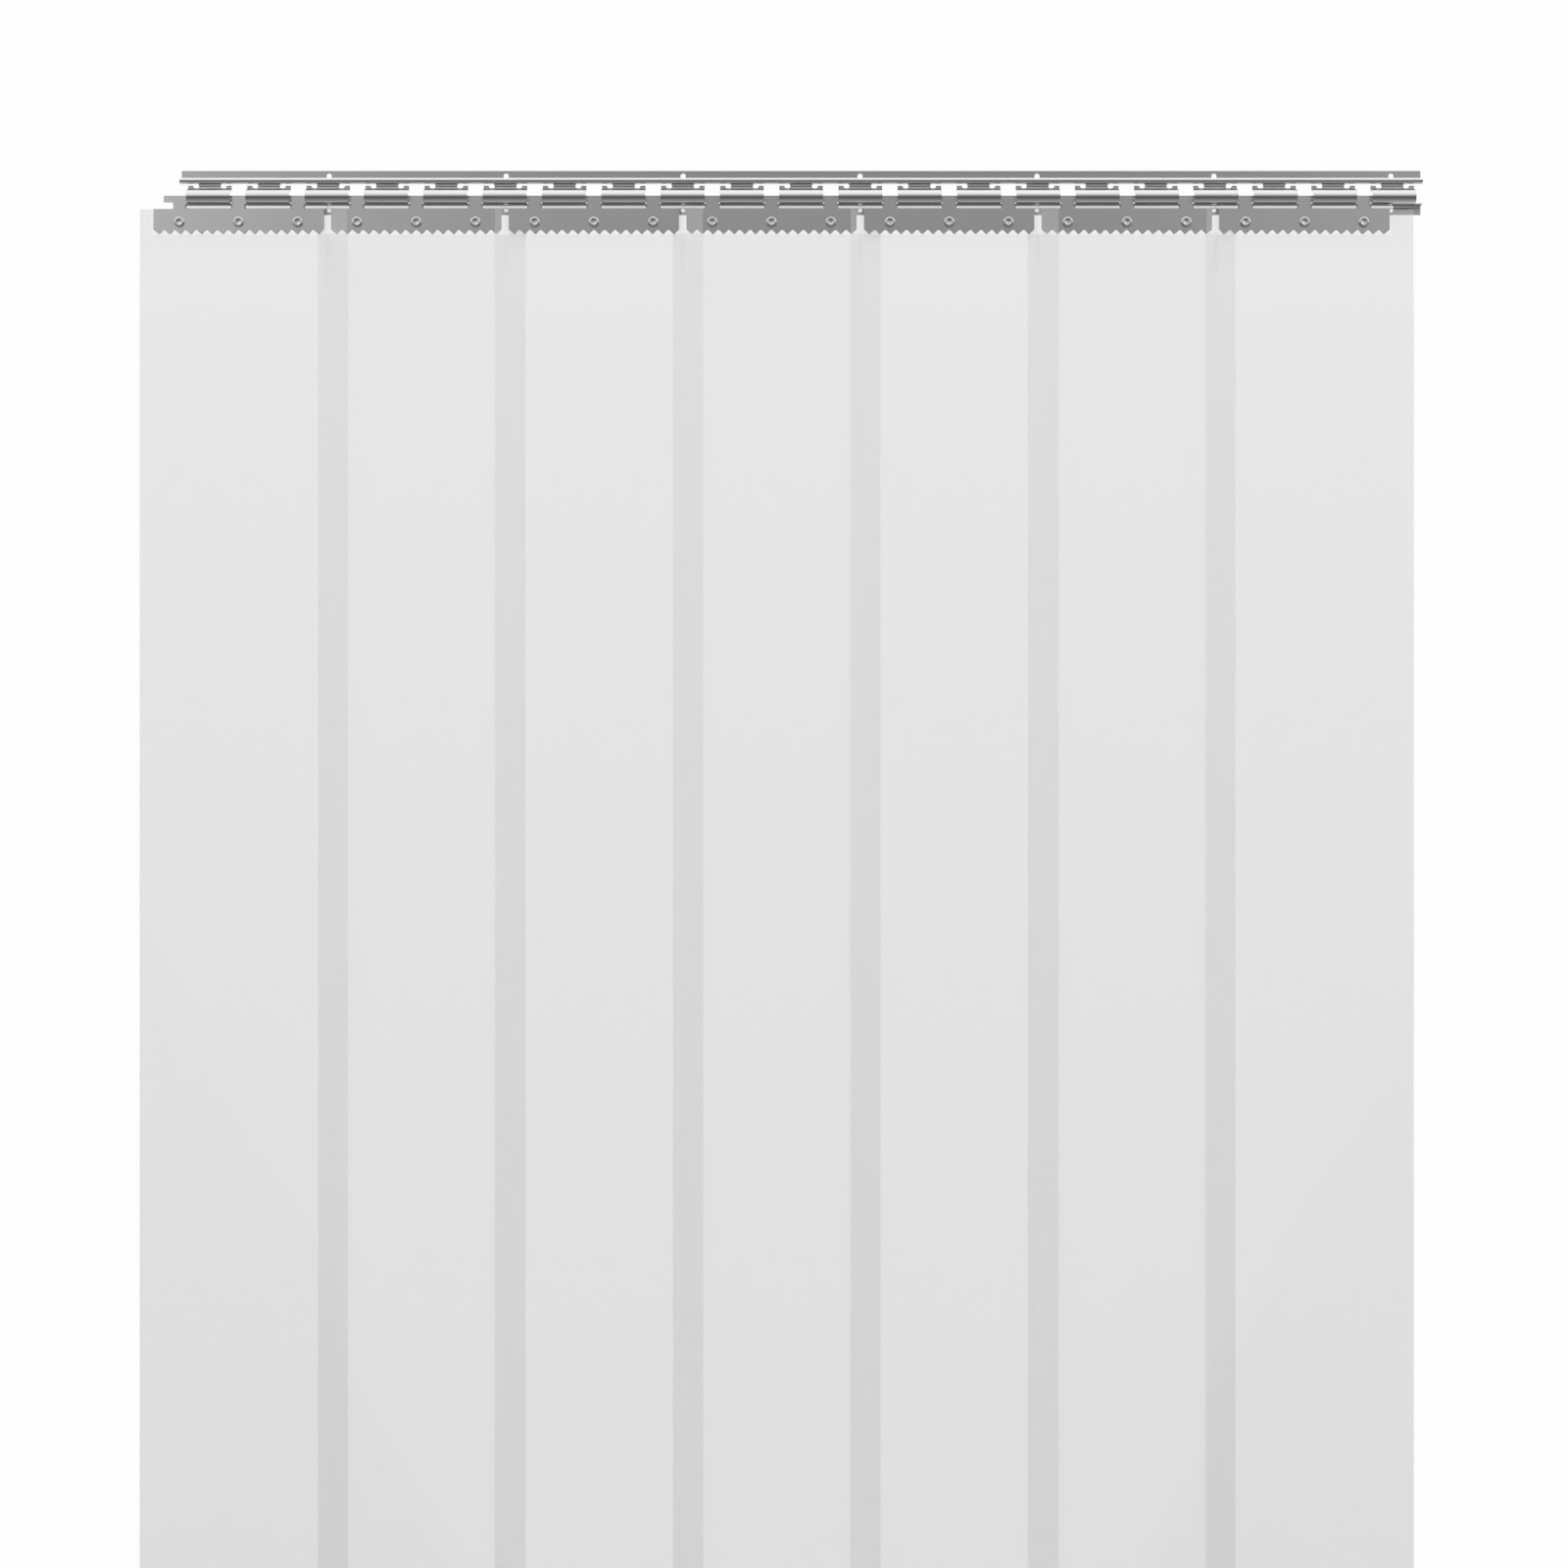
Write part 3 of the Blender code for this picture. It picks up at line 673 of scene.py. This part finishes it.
@dataclass
class SlottedRail:
    """The hanging rail: one roll-formed sheet with T-slots between its noses, and two rows of screw holes.

    Drops are measured down from its top edge, and depths out from the wall.
    """

    finish: bpy.types.Material
    sheet: float = 0.0012
    upper_flange: float = 0.0066
    upper_root: float = 0.0026
    bead_run: float = 0.00825
    bead: float = 0.00205
    neck: float = 0.00375
    nose_run: float = 0.0025
    nose: float = 0.00645
    lower_run: float = 0.01085
    lower_root: float = 0.0025
    lower_flange: float = 0.0064
    slots: int = 22
    slot_top: float = 0.0140
    slot_end: float = 0.0181
    hook_bottom: float = 0.0182
    hook_inside: float = 0.0134
    shoulder_end: float = 0.0122
    shoulder_drop: float = 0.0158
    stem: float = 0.0075
    stem_back: float = 0.01095
    slot_back: float = 0.0040
    slot_corner: float = 0.0020
    hook_corner: float = 0.0012
    nose_bottom: float = 0.0343
    nose_middle: float = 0.02725
    nose_front: float = 0.0210
    overrun: float = 0.002
    hole_count: int = 7
    first_hole: float = 2.5
    upper_hole: Point = (0.0052, 0.0051)
    lower_hole: Point = (0.0042, 0.0380)
    edge: float = 0.00012
    node: str = "hanging_rail"

    def __post_init__(self) -> None:
        """Read the rail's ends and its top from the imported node."""
        low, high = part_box(self.node)
        self.left, self.right, self.top = low.x, high.x, high.z
        self.pitch = (self.right - self.left) / (self.slots - 1)

    def form_sheet(self) -> bpy.types.Object:
        """Roll the sheet: flange, bead, neck, nose and flange again."""
        bpy.ops.object.select_all(action="DESELECT")
        bpy.ops.mesh.primitive_plane_add(
            size=1.0, location=((self.left + self.right) / 2, -self.sheet / 2, self.top - self.upper_flange / 2),
            rotation=(math.pi / 2, 0.0, 0.0),
        )
        rail = bpy.context.active_object
        rail.name = rail.data.name = "roll_formed_rail"
        rail.scale = (self.right - self.left, self.upper_flange, 1.0)
        bpy.ops.object.transform_apply(location=True, rotation=True, scale=True)
        with edit_mode(rail):
            select_vertices(lambda place: place.z < self.top - self.upper_flange / 2)
            roll = RollFormer(self.top - self.upper_flange, self.sheet / 2)
            roll.bend(self.upper_root, 90.0, 6)
            roll.run(self.bead_run)
            roll.bend(self.bead, -180.0, 14)
            roll.bend(self.neck, 180.0, 16)
            roll.run(self.nose_run)
            roll.bend(self.nose, -180.0, 24)
            roll.run(self.lower_run)
            roll.bend(self.lower_root, 90.0, 8)
            roll.run(self.lower_flange)
            face_outwards(merge=True)
        apply_modifier(rail, "SOLIDIFY", thickness=self.sheet, offset=0.0, use_even_offset=True)
        return rail

    def slot_cutter(self) -> bpy.types.Object:
        """Trace the T-slot with its rounded, hooked ends, as far down as the nose's middle."""
        right = [
            (self.slot_end, self.slot_top),
            (self.slot_end, self.hook_bottom),
            (self.hook_inside, self.hook_bottom),
            (self.shoulder_end, self.shoulder_drop),
            (self.stem, self.shoulder_drop),
            (self.stem, self.nose_middle),
        ]
        outline = right + [(-x, drop) for x, drop in reversed(right)]
        points = [(self.left + x, self.top - drop) for x, drop in outline]
        cutter = trace_outline("slot_cutter", points, -self.nose_front - self.overrun)
        hook = self.top - self.hook_bottom
        round_corners(cutter, self.slot_corner, 5, lambda place: near(abs(place.x - self.left), self.slot_end))
        round_corners(cutter, self.hook_corner, 4,
                      lambda place: near(abs(place.x - self.left), self.hook_inside) and near(place.z, hook))
        thicken(cutter, self.nose_front + self.overrun - self.slot_back)
        repeat_along_x(cutter, self.slots, self.pitch)
        return cutter

    def stem_cutter(self) -> bpy.types.Object:
        """Trace the stem's lower half, which stops short of the lower flange."""
        top, bottom = self.nose_middle - self.overrun, self.nose_bottom + self.overrun
        corners = [(-self.stem, top), (self.stem, top), (self.stem, bottom), (-self.stem, bottom)]
        points = [(self.left + x, self.top - drop) for x, drop in corners]
        cutter = trace_outline("stem_cutter", points, -self.nose_front - self.overrun)
        thicken(cutter, self.nose_front + self.overrun - self.stem_back)
        repeat_along_x(cutter, self.slots, self.pitch)
        return cutter

    def drill(self, rail: bpy.types.Object) -> None:
        """Drill both rows of screw holes."""
        x = self.left + self.first_hole * self.pitch
        reach = self.pitch * (self.slots - 1) / self.hole_count
        for diameter, drop in (self.upper_hole, self.lower_hole):
            centre = Vector((x, -self.sheet / 2, self.top - drop))
            bit = drill_bit("rail_drill", centre, diameter, self.sheet + 2 * self.overrun)
            repeat_along_x(bit, self.hole_count, reach)
            cut(rail, bit)

    def build(self) -> None:
        """Form, punch, drill and finish the rail."""
        rail = self.form_sheet()
        cut(rail, self.slot_cutter())
        cut(rail, self.stem_cutter())
        self.drill(rail)
        break_edges(rail, self.edge, steps=1, angle=55.0)
        hand_over(rail, "rail", "rail_steel", self.finish, self.node)


@dataclass
class ClampSet:
    """The plates and rivets that clamp one strip's head, modelled once and copied to each strip.

    Heights and drops are measured from the plates of the first strip.
    """

    steel: bpy.types.Material
    rivet_steel: bpy.types.Material
    strips: int = 7
    tabs: int = 3
    tab_pitch: float = 0.057
    neck: float = 0.0112
    neck_top: float = 0.0124
    bar: float = 0.030
    bar_height: float = 0.0066
    teeth: int = 16
    tooth_depth: float = 0.0037
    rear_tooth_depth: float = 0.0046
    tooth_roundness: float = 0.45
    tooth_steps: int = 12
    lip_radius: float = 0.0060
    lip_turn: float = 13.0
    lip_reach: float = 0.0025
    lip_steps: int = 5
    lip_corner: float = 0.0014
    ear_reach: float = 0.0033
    ear_height: float = 0.0002
    ear_corner: float = 0.0012
    end_corner: float = 0.0007
    tab_corner: float = 0.0009
    seat_corner: float = 0.0006
    foot_corner: float = 0.0016
    drill_length: float = 0.004
    drill_sides: int = 24
    rivet_drop: float = 0.0126
    rivet_spacing: float = 0.057
    rivet_gap: float = 0.0003
    shank: float = 0.0044
    head: float = 0.010
    head_height: float = 0.0017
    head_profile: tuple[Point, ...] = (
        (0.99, 0.0), (1.0, 0.30), (0.985, 0.60), (0.95, 0.80), (0.88, 0.93), (0.76, 1.0),
    )
    dimple_profile: tuple[Point, ...] = (
        (0.62, 0.00002), (0.50, 0.00010), (0.38, 0.00022), (0.26, 0.00031), (0.13, 0.00036), (0.0, 0.00038),
    )
    tail: float = 0.0078
    tail_height: float = 0.0014
    tail_profile: tuple[Point, ...] = ((0.0, 0.6), (0.35, 0.62), (0.55, 1.0), (0.82, 0.9), (1.0, 0.45), (0.98, 0.0))
    rivet_sides: int = 32
    edge: float = 0.00022

    def __post_init__(self) -> None:
        """Read the first plates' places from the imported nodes."""
        low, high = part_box("front_plate_1")
        back_low, back_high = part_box("back_plate_1")
        self.middle = (back_low.x + back_high.x) / 2
        self.half = (back_high.x - back_low.x) / 2
        self.plate_top = back_high.z
        self.tab_top = high.z
        self.tips = back_low.z
        self.front = (low.y, high.y)
        self.back = (back_low.y, back_high.y)
        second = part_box("back_plate_2")
        self.pitch = (second[0].x + second[1].x) / 2 - self.middle

    def teeth_points(self, depth: float) -> list[Point]:
        """Return the serrated edge from its right end to its left: rounded teeth of some depth."""
        pitch = 2 * self.half / self.teeth
        valley = self.tips + depth
        points = []
        for step in range(1, self.teeth * self.tooth_steps):
            share = step / self.tooth_steps
            straight = 1 - abs(1 - 2 * (share % 1.0))
            reach = straight + (0.5 - 0.5 * math.cos(math.pi * straight) - straight) * self.tooth_roundness
            points.append((self.middle + self.half - share * pitch, valley - depth * reach))
        return points

    def tab_points(self, middle: float) -> list[Point]:
        """Return one T-tab from its left foot over its bar to its right foot."""
        neck, bar = self.neck / 2, self.bar / 2
        seat = self.tab_top - self.bar_height
        right = [(bar, self.tab_top), (bar, seat), (self.neck_top / 2, seat), (neck, self.plate_top)]
        left = [(-x, z) for x, z in reversed(right)]
        return [(middle + x, z) for x, z in left + right]

    def flare_lips(self, plate: bpy.types.Object, from_x: float) -> None:
        """Lean the top edge back between the necks, and round the corners of the lips.

        Args:
            plate: The flat plate.
            from_x: The lips start right of this place.
        """
        y = sum(self.front) / 2
        axis = Vector((0.0, y + self.lip_radius, self.plate_top))
        flare_edges(plate, lambda place: near(place.z, self.plate_top) and place.x > from_x,
                    axis, self.lip_turn, self.lip_steps, self.lip_reach)
        turn = math.radians(self.lip_turn)
        rim = self.plate_top + self.lip_radius * math.sin(turn) + self.lip_reach * math.cos(turn)
        back = y + self.lip_radius * (1 - math.cos(turn)) + self.lip_reach * math.sin(turn)
        round_corners(plate, self.lip_corner, 5, lambda place: near(place.z, rim) and near(place.y, back))

    def plate(self, name: str, depths: Point, with_tabs: bool, lips_from: float = 0.0) -> bpy.types.Object:
        """Trace, round, flare, thicken, drill and deburr a plate.

        Args:
            name: The pattern's name.
            depths: The y of its front and of its back face.
            with_tabs: Whether it has the hanging tabs, and the lips between them.
            lips_from: The place from which on it has lips.

        Returns:
            The plate at the first strip's place.
        """
        left, right = self.middle - self.half, self.middle + self.half
        tooth = self.tooth_depth if with_tabs else self.rear_tooth_depth
        valley = self.tips + tooth
        ear = self.plate_top - self.ear_height
        outline = [(left, valley)]
        if with_tabs and lips_from < left:
            outline += [(left, ear), (left - self.ear_reach, ear), (left - self.ear_reach, self.plate_top)]
        else:
            outline.append((left, self.plate_top))
        if with_tabs:
            for tab in range(self.tabs):
                outline += self.tab_points(self.middle + (tab - (self.tabs - 1) / 2) * self.tab_pitch)
            outline += [(right + self.ear_reach, self.plate_top), (right + self.ear_reach, ear), (right, ear)]
        else:
            outline.append((right, self.plate_top))
        outline.append((right, valley))
        outline += self.teeth_points(tooth)
        plate = trace_outline(name, outline, sum(depths) / 2)

        def at_end(place: Vector) -> bool:
            """Tell whether a place lies at either end of the plate."""
            return near(abs(place.x - self.middle), self.half)

        def at_foot(place: Vector) -> bool:
            """Tell whether a place lies on the top edge, within the ends."""
            return near(place.z, self.plate_top) and abs(place.x - self.middle) < self.half - self.ear_reach

        round_corners(plate, self.end_corner, 3, lambda place: at_end(place) and near(place.z, self.plate_top))
        if with_tabs:
            seat = self.tab_top - self.bar_height
            round_corners(plate, self.tab_corner, 4, lambda place: near(place.z, self.tab_top))
            round_corners(plate, self.foot_corner, 5, at_foot)
            round_corners(plate, self.seat_corner, 3, lambda place: near(place.z, seat))
            round_corners(plate, self.ear_corner, 4, lambda place: at_end(place) and near(place.z, ear))
            self.flare_lips(plate, lips_from)
        apply_modifier(plate, "SOLIDIFY", thickness=depths[1] - depths[0], offset=0.0, use_even_offset=True)
        hole = self.shank + 2 * self.rivet_gap
        for x in (-self.rivet_spacing, 0.0, self.rivet_spacing):
            centre = Vector((self.middle + x, sum(depths) / 2, self.plate_top - self.rivet_drop))
            cut(plate, drill_bit("plate_drill", centre, hole, self.drill_length, self.drill_sides))
        break_edges(plate, self.edge, angle=40.0)
        return plate

    def rivet(self) -> bpy.types.Object:
        """Turn a rivet: set tail, shank, and a low domed head with a rim and a dimple."""
        seat, rear = self.front[0] - self.rivet_gap, self.back[1] + self.rivet_gap
        crown = seat - self.head_height
        head, tail, shank = self.head / 2, self.tail / 2, self.shank / 2
        profile = [(tail * reach, rear + self.tail_height * rise) for reach, rise in self.tail_profile]
        profile += [(shank, rear), (shank, seat)]
        profile += [(head * reach, seat - self.head_height * rise) for reach, rise in self.head_profile]
        profile += [(head * reach, crown + sunk) for reach, sunk in self.dimple_profile]
        centre = Vector((self.middle - self.rivet_spacing, 0.0, self.plate_top - self.rivet_drop))
        rivet = trace_line("rivet_pattern", [centre + Vector((radius, y, 0.0)) for radius, y in profile])
        bpy.ops.mesh.select_all(action="SELECT")
        bpy.ops.mesh.spin(steps=self.rivet_sides, angle=2 * math.pi, center=centre, axis=(0.0, 1.0, 0.0))
        face_outwards(merge=True)
        bpy.ops.object.mode_set(mode="OBJECT")
        shade(rivet, angle=50.0)
        return rivet

    def build(self) -> None:
        """Copy the patterns to every strip."""
        front = self.plate("front_pattern", self.front, True, self.middle - self.half - self.neck)
        end = self.plate("end_pattern", self.front, True, self.middle - self.tab_pitch)
        back = self.plate("back_pattern", self.back, False)
        rivet = self.rivet()
        for strip in range(self.strips):
            number, shift = strip + 1, Vector((strip * self.pitch, 0.0, 0.0))
            body = f"hanger_{number}"
            hand_over(copy_piece(front if strip else end, f"tabbed_plate_{number}", shift), body, "plate_steel",
                      self.steel, f"front_plate_{number}")
            hand_over(copy_piece(back, f"backing_plate_{number}", shift), body, "plate_steel", self.steel,
                      f"back_plate_{number}")
            for index, side in enumerate(("left", "middle", "right")):
                along = shift + Vector((index * self.rivet_spacing, 0.0, 0.0))
                hand_over(copy_piece(rivet, f"set_rivet_{number}_{side}", along), body, "rivet_steel",
                          self.rivet_steel, f"rivet_{number}_{side}")
        for pattern in (front, end, back, rivet):
            bpy.data.objects.remove(pattern, do_unlink=True)


@dataclass
class HangingStrips:
    """The PVC strips: clamped flat at the head, lapped over their neighbours and hanging free below.

    The first, third and so on lap in front of their neighbours, and the others behind. relax_start and flex_line
    are drops from the rail's top: the sheet comes out of its step between them, and its rows lie close below the
    second.
    """

    finish: bpy.types.Material
    strips: int = 7
    width: float = 0.200
    length: float = 2.000
    thickness: float = 0.002
    clamp: float = 0.01215
    front_margin: float = 0.01575
    rear_margin: float = 0.00855
    front_plane: float = 0.01415
    rear_plane: float = 0.01015
    joggle: float = 0.0003
    relax_start: float = 0.0642
    flex_line: float = 0.1472
    bend_above: float = 0.04
    bend_below: float = 0.08
    rail_top: float = 0.0051
    edge: float = 0.00035
    margin_columns: int = 3
    joggle_columns: int = 6
    middle_columns: int = 8
    clamp_rows: int = 3
    relax_rows: int = 12
    bend_rows: int = 20
    free_rows: int = 16
    plates: list[Point] = field(default_factory=list)

    def __post_init__(self) -> None:
        """Read every plate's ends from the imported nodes."""
        for number in range(1, self.strips + 1):
            low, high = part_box(f"back_plate_{number}")
            self.plates.append((low.x, high.x))
        self.gap = self.plates[1][0] - self.plates[0][1]

    def columns(self, left: float, right: float, ends: Point) -> list[float]:
        """Return the places of a strip's columns, close together where it steps past its plates.

        Args:
            left: The strip's left edge.
            right: Its right edge.
            ends: The left and right end of its plates.

        Returns:
            The columns' x, from left to right.
        """
        stops = [
            (left, ends[0] - self.gap, self.margin_columns),
            (ends[0] - self.gap, ends[0], self.joggle_columns),
            (ends[0], ends[1], self.middle_columns),
            (ends[1], ends[1] + self.gap, self.joggle_columns),
            (ends[1] + self.gap, right, self.margin_columns),
        ]
        places = [left]
        for start, end, count in stops:
            places += [start + (end - start) * (step + 1) / count for step in range(count)]
        return places

    def rows(self, top: float) -> list[float]:
        """Return the heights of a strip's rows, from its top edge to its bottom one."""
        relax, flex = self.rail_top - self.relax_start, self.rail_top - self.flex_line
        bent, bottom = flex - self.bend_below, top - self.length
        places = [top]
        for start, end, count in ((top, relax, self.clamp_rows), (relax, flex, self.relax_rows),
                                  (flex, bent, self.bend_rows), (bent, bottom, self.free_rows)):
            places += [start + (end - start) * (step + 1) / count for step in range(count)]
        return places

    def depth(self, number: int, x: float, z: float) -> float:
        """Return how far out from the wall a strip's middle lies.

        Args:
            number: The strip's number, from 1.
            x: The place across the strip.
            z: The height.

        Returns:
            The depth, in metres.
        """
        in_front = number % 2 == 1
        margin = self.front_margin if in_front else self.rear_margin
        plane = self.front_plane if in_front else self.rear_plane
        low, high = self.plates[number - 1]
        beyond = max(low - x, x - high)
        lapped = not (x < low and number == 1) and not (x > high and number == self.strips)
        share = ease((beyond - self.joggle) / (self.gap - 2 * self.joggle)) if lapped else 0.0
        clamped = self.clamp + (margin - self.clamp) * share
        start = self.rail_top - self.relax_start
        hung = ease((start - z) / (self.flex_line - self.relax_start))
        return clamped + (plane - clamped) * hung

    def strip(self, number: int) -> bpy.types.Object:
        """Cut, hang and thicken one strip.

        Args:
            number: The strip's number, from 1.

        Returns:
            The strip.
        """
        low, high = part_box(f"strip_{number}")
        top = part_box(f"strip_head_{number}")[1].z
        across = self.columns(low.x, high.x, self.plates[number - 1])
        down = self.rows(top)
        bpy.ops.object.select_all(action="DESELECT")
        bpy.ops.mesh.primitive_grid_add(x_subdivisions=len(across) - 1, y_subdivisions=len(down) - 1, size=1.0)
        strip = bpy.context.active_object
        strip.name = strip.data.name = f"pvc_strip_{number}"
        for vertex in strip.data.vertices:
            column = round((vertex.co.x + 0.5) * (len(across) - 1))
            row = round((0.5 - vertex.co.y) * (len(down) - 1))
            x, z = across[column], down[row]
            vertex.co = (x, -self.depth(number, x, z), z)
        apply_modifier(strip, "SOLIDIFY", thickness=self.thickness, offset=0.0, use_even_offset=True)
        with edit_mode(strip):
            face_outwards()
        break_edges(strip, self.edge, angle=60.0)
        return strip

    def build(self) -> None:
        """Hang every strip, with its rows close below its flex line."""
        for number in range(1, self.strips + 1):
            strip = self.strip(number)
            strip.data.materials.append(self.finish)
            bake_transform(strip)
            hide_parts(f"strip_head_{number}", f"strip_{number}")
            log.info("%s hangs from hanger_%d, with %d faces", strip.name, number, len(strip.data.polygons))


# Studio


@dataclass
class Studio:
    """The white room: its light by direction, a soft box over the front, the floor and the camera.

    The light that the steel reflects follows profile by height, from below to above. Two bright patches stand
    beside the front, left and right, at the heights from beside_foot to beside_top, and the room behind is white.
    All of these are measured on the unit sphere of directions.
    """

    white: float = 0.983
    back_level: float = 1.0
    plain_level: float = 0.915
    profile: tuple[Point, ...] = (
        (-1.0, 0.56), (-0.92, 0.50), (-0.75, 0.32), (-0.45, 0.16), (-0.15, 0.13), (0.0, 0.21), (0.18, 0.31),
        (0.34, 0.60), (0.50, 1.08), (0.70, 1.50), (0.90, 1.75), (1.0, 1.85),
    )
    brightest: float = 2.5
    left_level: float = 1.0
    left_edge: Point = (-0.12, -0.26)
    right_level: float = 1.3
    right_edge: Point = (0.24, 0.30)
    beside_foot: Point = (0.02, 0.16)
    beside_top: Point = (0.45, 0.80)
    behind_edge: Point = (-0.12, 0.12)
    behind_top: Point = (0.35, 0.75)
    box_power: float = 33.0
    box_size: Point = (3.2, 1.5)
    box_place: Triple = (0.0, -1.7, 2.3)
    box_target: Triple = (0.0, 0.0, -0.3)
    floor_sides: int = 96
    floor_radius: float = 2.5
    floor_rim: float = 0.9
    floor_gap: float = 0.012
    camera_place: Triple = (-0.0165, -3.2, -0.5873)
    lens: float = 76.0
    sensor_width: float = 36.0
    clip_start: float = 0.05

    def light_room(self) -> None:
        """Light the room: plain on matt surfaces, and in reflections bright above, dark below and white behind."""
        world = bpy.data.worlds.new("white_room")
        bpy.context.scene.world = world
        world.use_nodes = True
        tree = world.node_tree
        board = NodeBoard(tree)
        glow = tree.nodes["Background"]
        way = board.add("SeparateXYZ", Vector=board.add("TexCoord").outputs["Generated"])
        rise = board.stretch(way.outputs["Z"], (-1.0, 1.0))
        ramp = board.add("ValToRGB", Fac=rise)
        while len(ramp.color_ramp.elements) < len(self.profile):
            ramp.color_ramp.elements.new(0.5)
        for element, (height, level) in zip(ramp.color_ramp.elements, self.profile):
            element.position = (height + 1) / 2
            share = level / self.brightest
            element.color = (share, share, share, 1.0)
        level = board.sum("MULTIPLY", board.add("RGBToBW", Color=ramp.outputs[0]).outputs[0], self.brightest)
        left = board.stretch(way.outputs["X"], self.left_edge, (0.0, self.left_level), smooth=True)
        right = board.stretch(way.outputs["X"], self.right_edge, (0.0, self.right_level), smooth=True)
        low = board.stretch(way.outputs["Z"], self.beside_foot, smooth=True)
        high = board.stretch(way.outputs["Z"], self.beside_top, (1.0, 0.0), smooth=True)
        beside = board.sum("MULTIPLY", board.sum("ADD", left, right), board.sum("MULTIPLY", low, high))
        behind = board.sum("MULTIPLY", board.stretch(way.outputs["Y"], self.behind_edge, smooth=True),
                           board.stretch(way.outputs["Z"], self.behind_top, (1.0, 0.0), smooth=True))
        room = board.choose(behind, board.sum("ADD", level, beside), self.back_level)
        path = board.add("LightPath")
        glossy = path.outputs["Is Glossy Ray"]
        lit = board.choose(glossy, self.plain_level, room)
        seen = board.sum("MAXIMUM", path.outputs["Is Camera Ray"], path.outputs["Is Transmission Ray"])
        shown = board.sum("MAXIMUM", seen, board.sum("MULTIPLY", glossy, behind))
        tree.links.new(board.choose(shown, lit, self.white), glow.inputs["Strength"])
        glow.inputs["Color"].default_value = (*WHITE, 1.0)

    def hang_soft_box(self) -> None:
        """Hang the soft box over the front, tilted at the rail."""
        bpy.ops.object.select_all(action="DESELECT")
        bpy.ops.object.light_add(type="AREA", location=self.box_place)
        box = bpy.context.active_object
        box.name = "soft_box"
        box.data.shape = "RECTANGLE"
        box.data.size, box.data.size_y = self.box_size
        box.data.energy = self.box_power
        box.visible_glossy = False
        aim = Vector(self.box_target) - Vector(self.box_place)
        box.rotation_euler = aim.to_track_quat("-Z", "Y").to_euler()

    def lay_floor(self, lowest: float) -> None:
        """Lay the pale sweep just below the strips.

        Args:
            lowest: The height of the strips' lower edge.
        """
        bpy.ops.object.select_all(action="DESELECT")
        bpy.ops.mesh.primitive_circle_add(vertices=self.floor_sides, radius=self.floor_radius, fill_type="NGON",
                                          location=(0.0, 0.0, lowest - self.floor_gap))
        floor = bpy.context.active_object
        floor.name = "studio_floor"
        with edit_mode(floor):
            bpy.ops.mesh.inset(thickness=self.floor_rim)
        floor.data.materials.append(StudioFloor().mix())
        floor.visible_diffuse = floor.visible_glossy = False
        floor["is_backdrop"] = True

    def set_camera(self) -> None:
        """Stand the camera level in front, at the photograph's height."""
        bpy.ops.object.camera_add(location=self.camera_place, rotation=(math.pi / 2, 0.0, 0.0))
        camera = bpy.context.active_object
        camera.name = "portrait_camera"
        camera.data.lens = self.lens
        camera.data.sensor_width = self.sensor_width
        camera.data.clip_start = self.clip_start
        bpy.context.scene.camera = camera

    def build(self, lowest: float) -> None:
        """Set up the room, the light, the floor and the camera.

        Args:
            lowest: The height of the strips' lower edge.
        """
        self.light_room()
        self.hang_soft_box()
        self.lay_floor(lowest)
        self.set_camera()
        bpy.context.scene.view_settings.view_transform = "Standard"
        log.info("The studio is lit")


def plain(bounds: Sequence[Sequence[float]]) -> list[list[float]]:
    """Return a box as plain lists of numbers."""
    return [[float(value) for value in corner] for corner in bounds]


def main() -> None:
    """Build the curtain, then the studio, with the floor under the imported model's box."""
    logging.basicConfig(level=logging.INFO, format="%(message)s")
    cad_box = plain(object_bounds())
    SlottedRail(finish=BrushedStainless("rail_stainless", Brushing.LENGTHWISE, tone=0.51).mix()).build()
    ClampSet(
        steel=BrushedStainless("plate_stainless", Brushing.UPRIGHT).mix(),
        rivet_steel=BrushedStainless("rivet_stainless", Brushing.TURNED, tone=0.52, roughness=0.30).mix(),
    ).build()
    plate_ends = (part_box("back_plate_1")[0].x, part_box("back_plate_7")[1].x)
    HangingStrips(finish=SoftPvc("soft_pvc", plate_ends).mix()).build()
    Studio().build(cad_box[0][2])


if __name__ == "__main__":
    main()
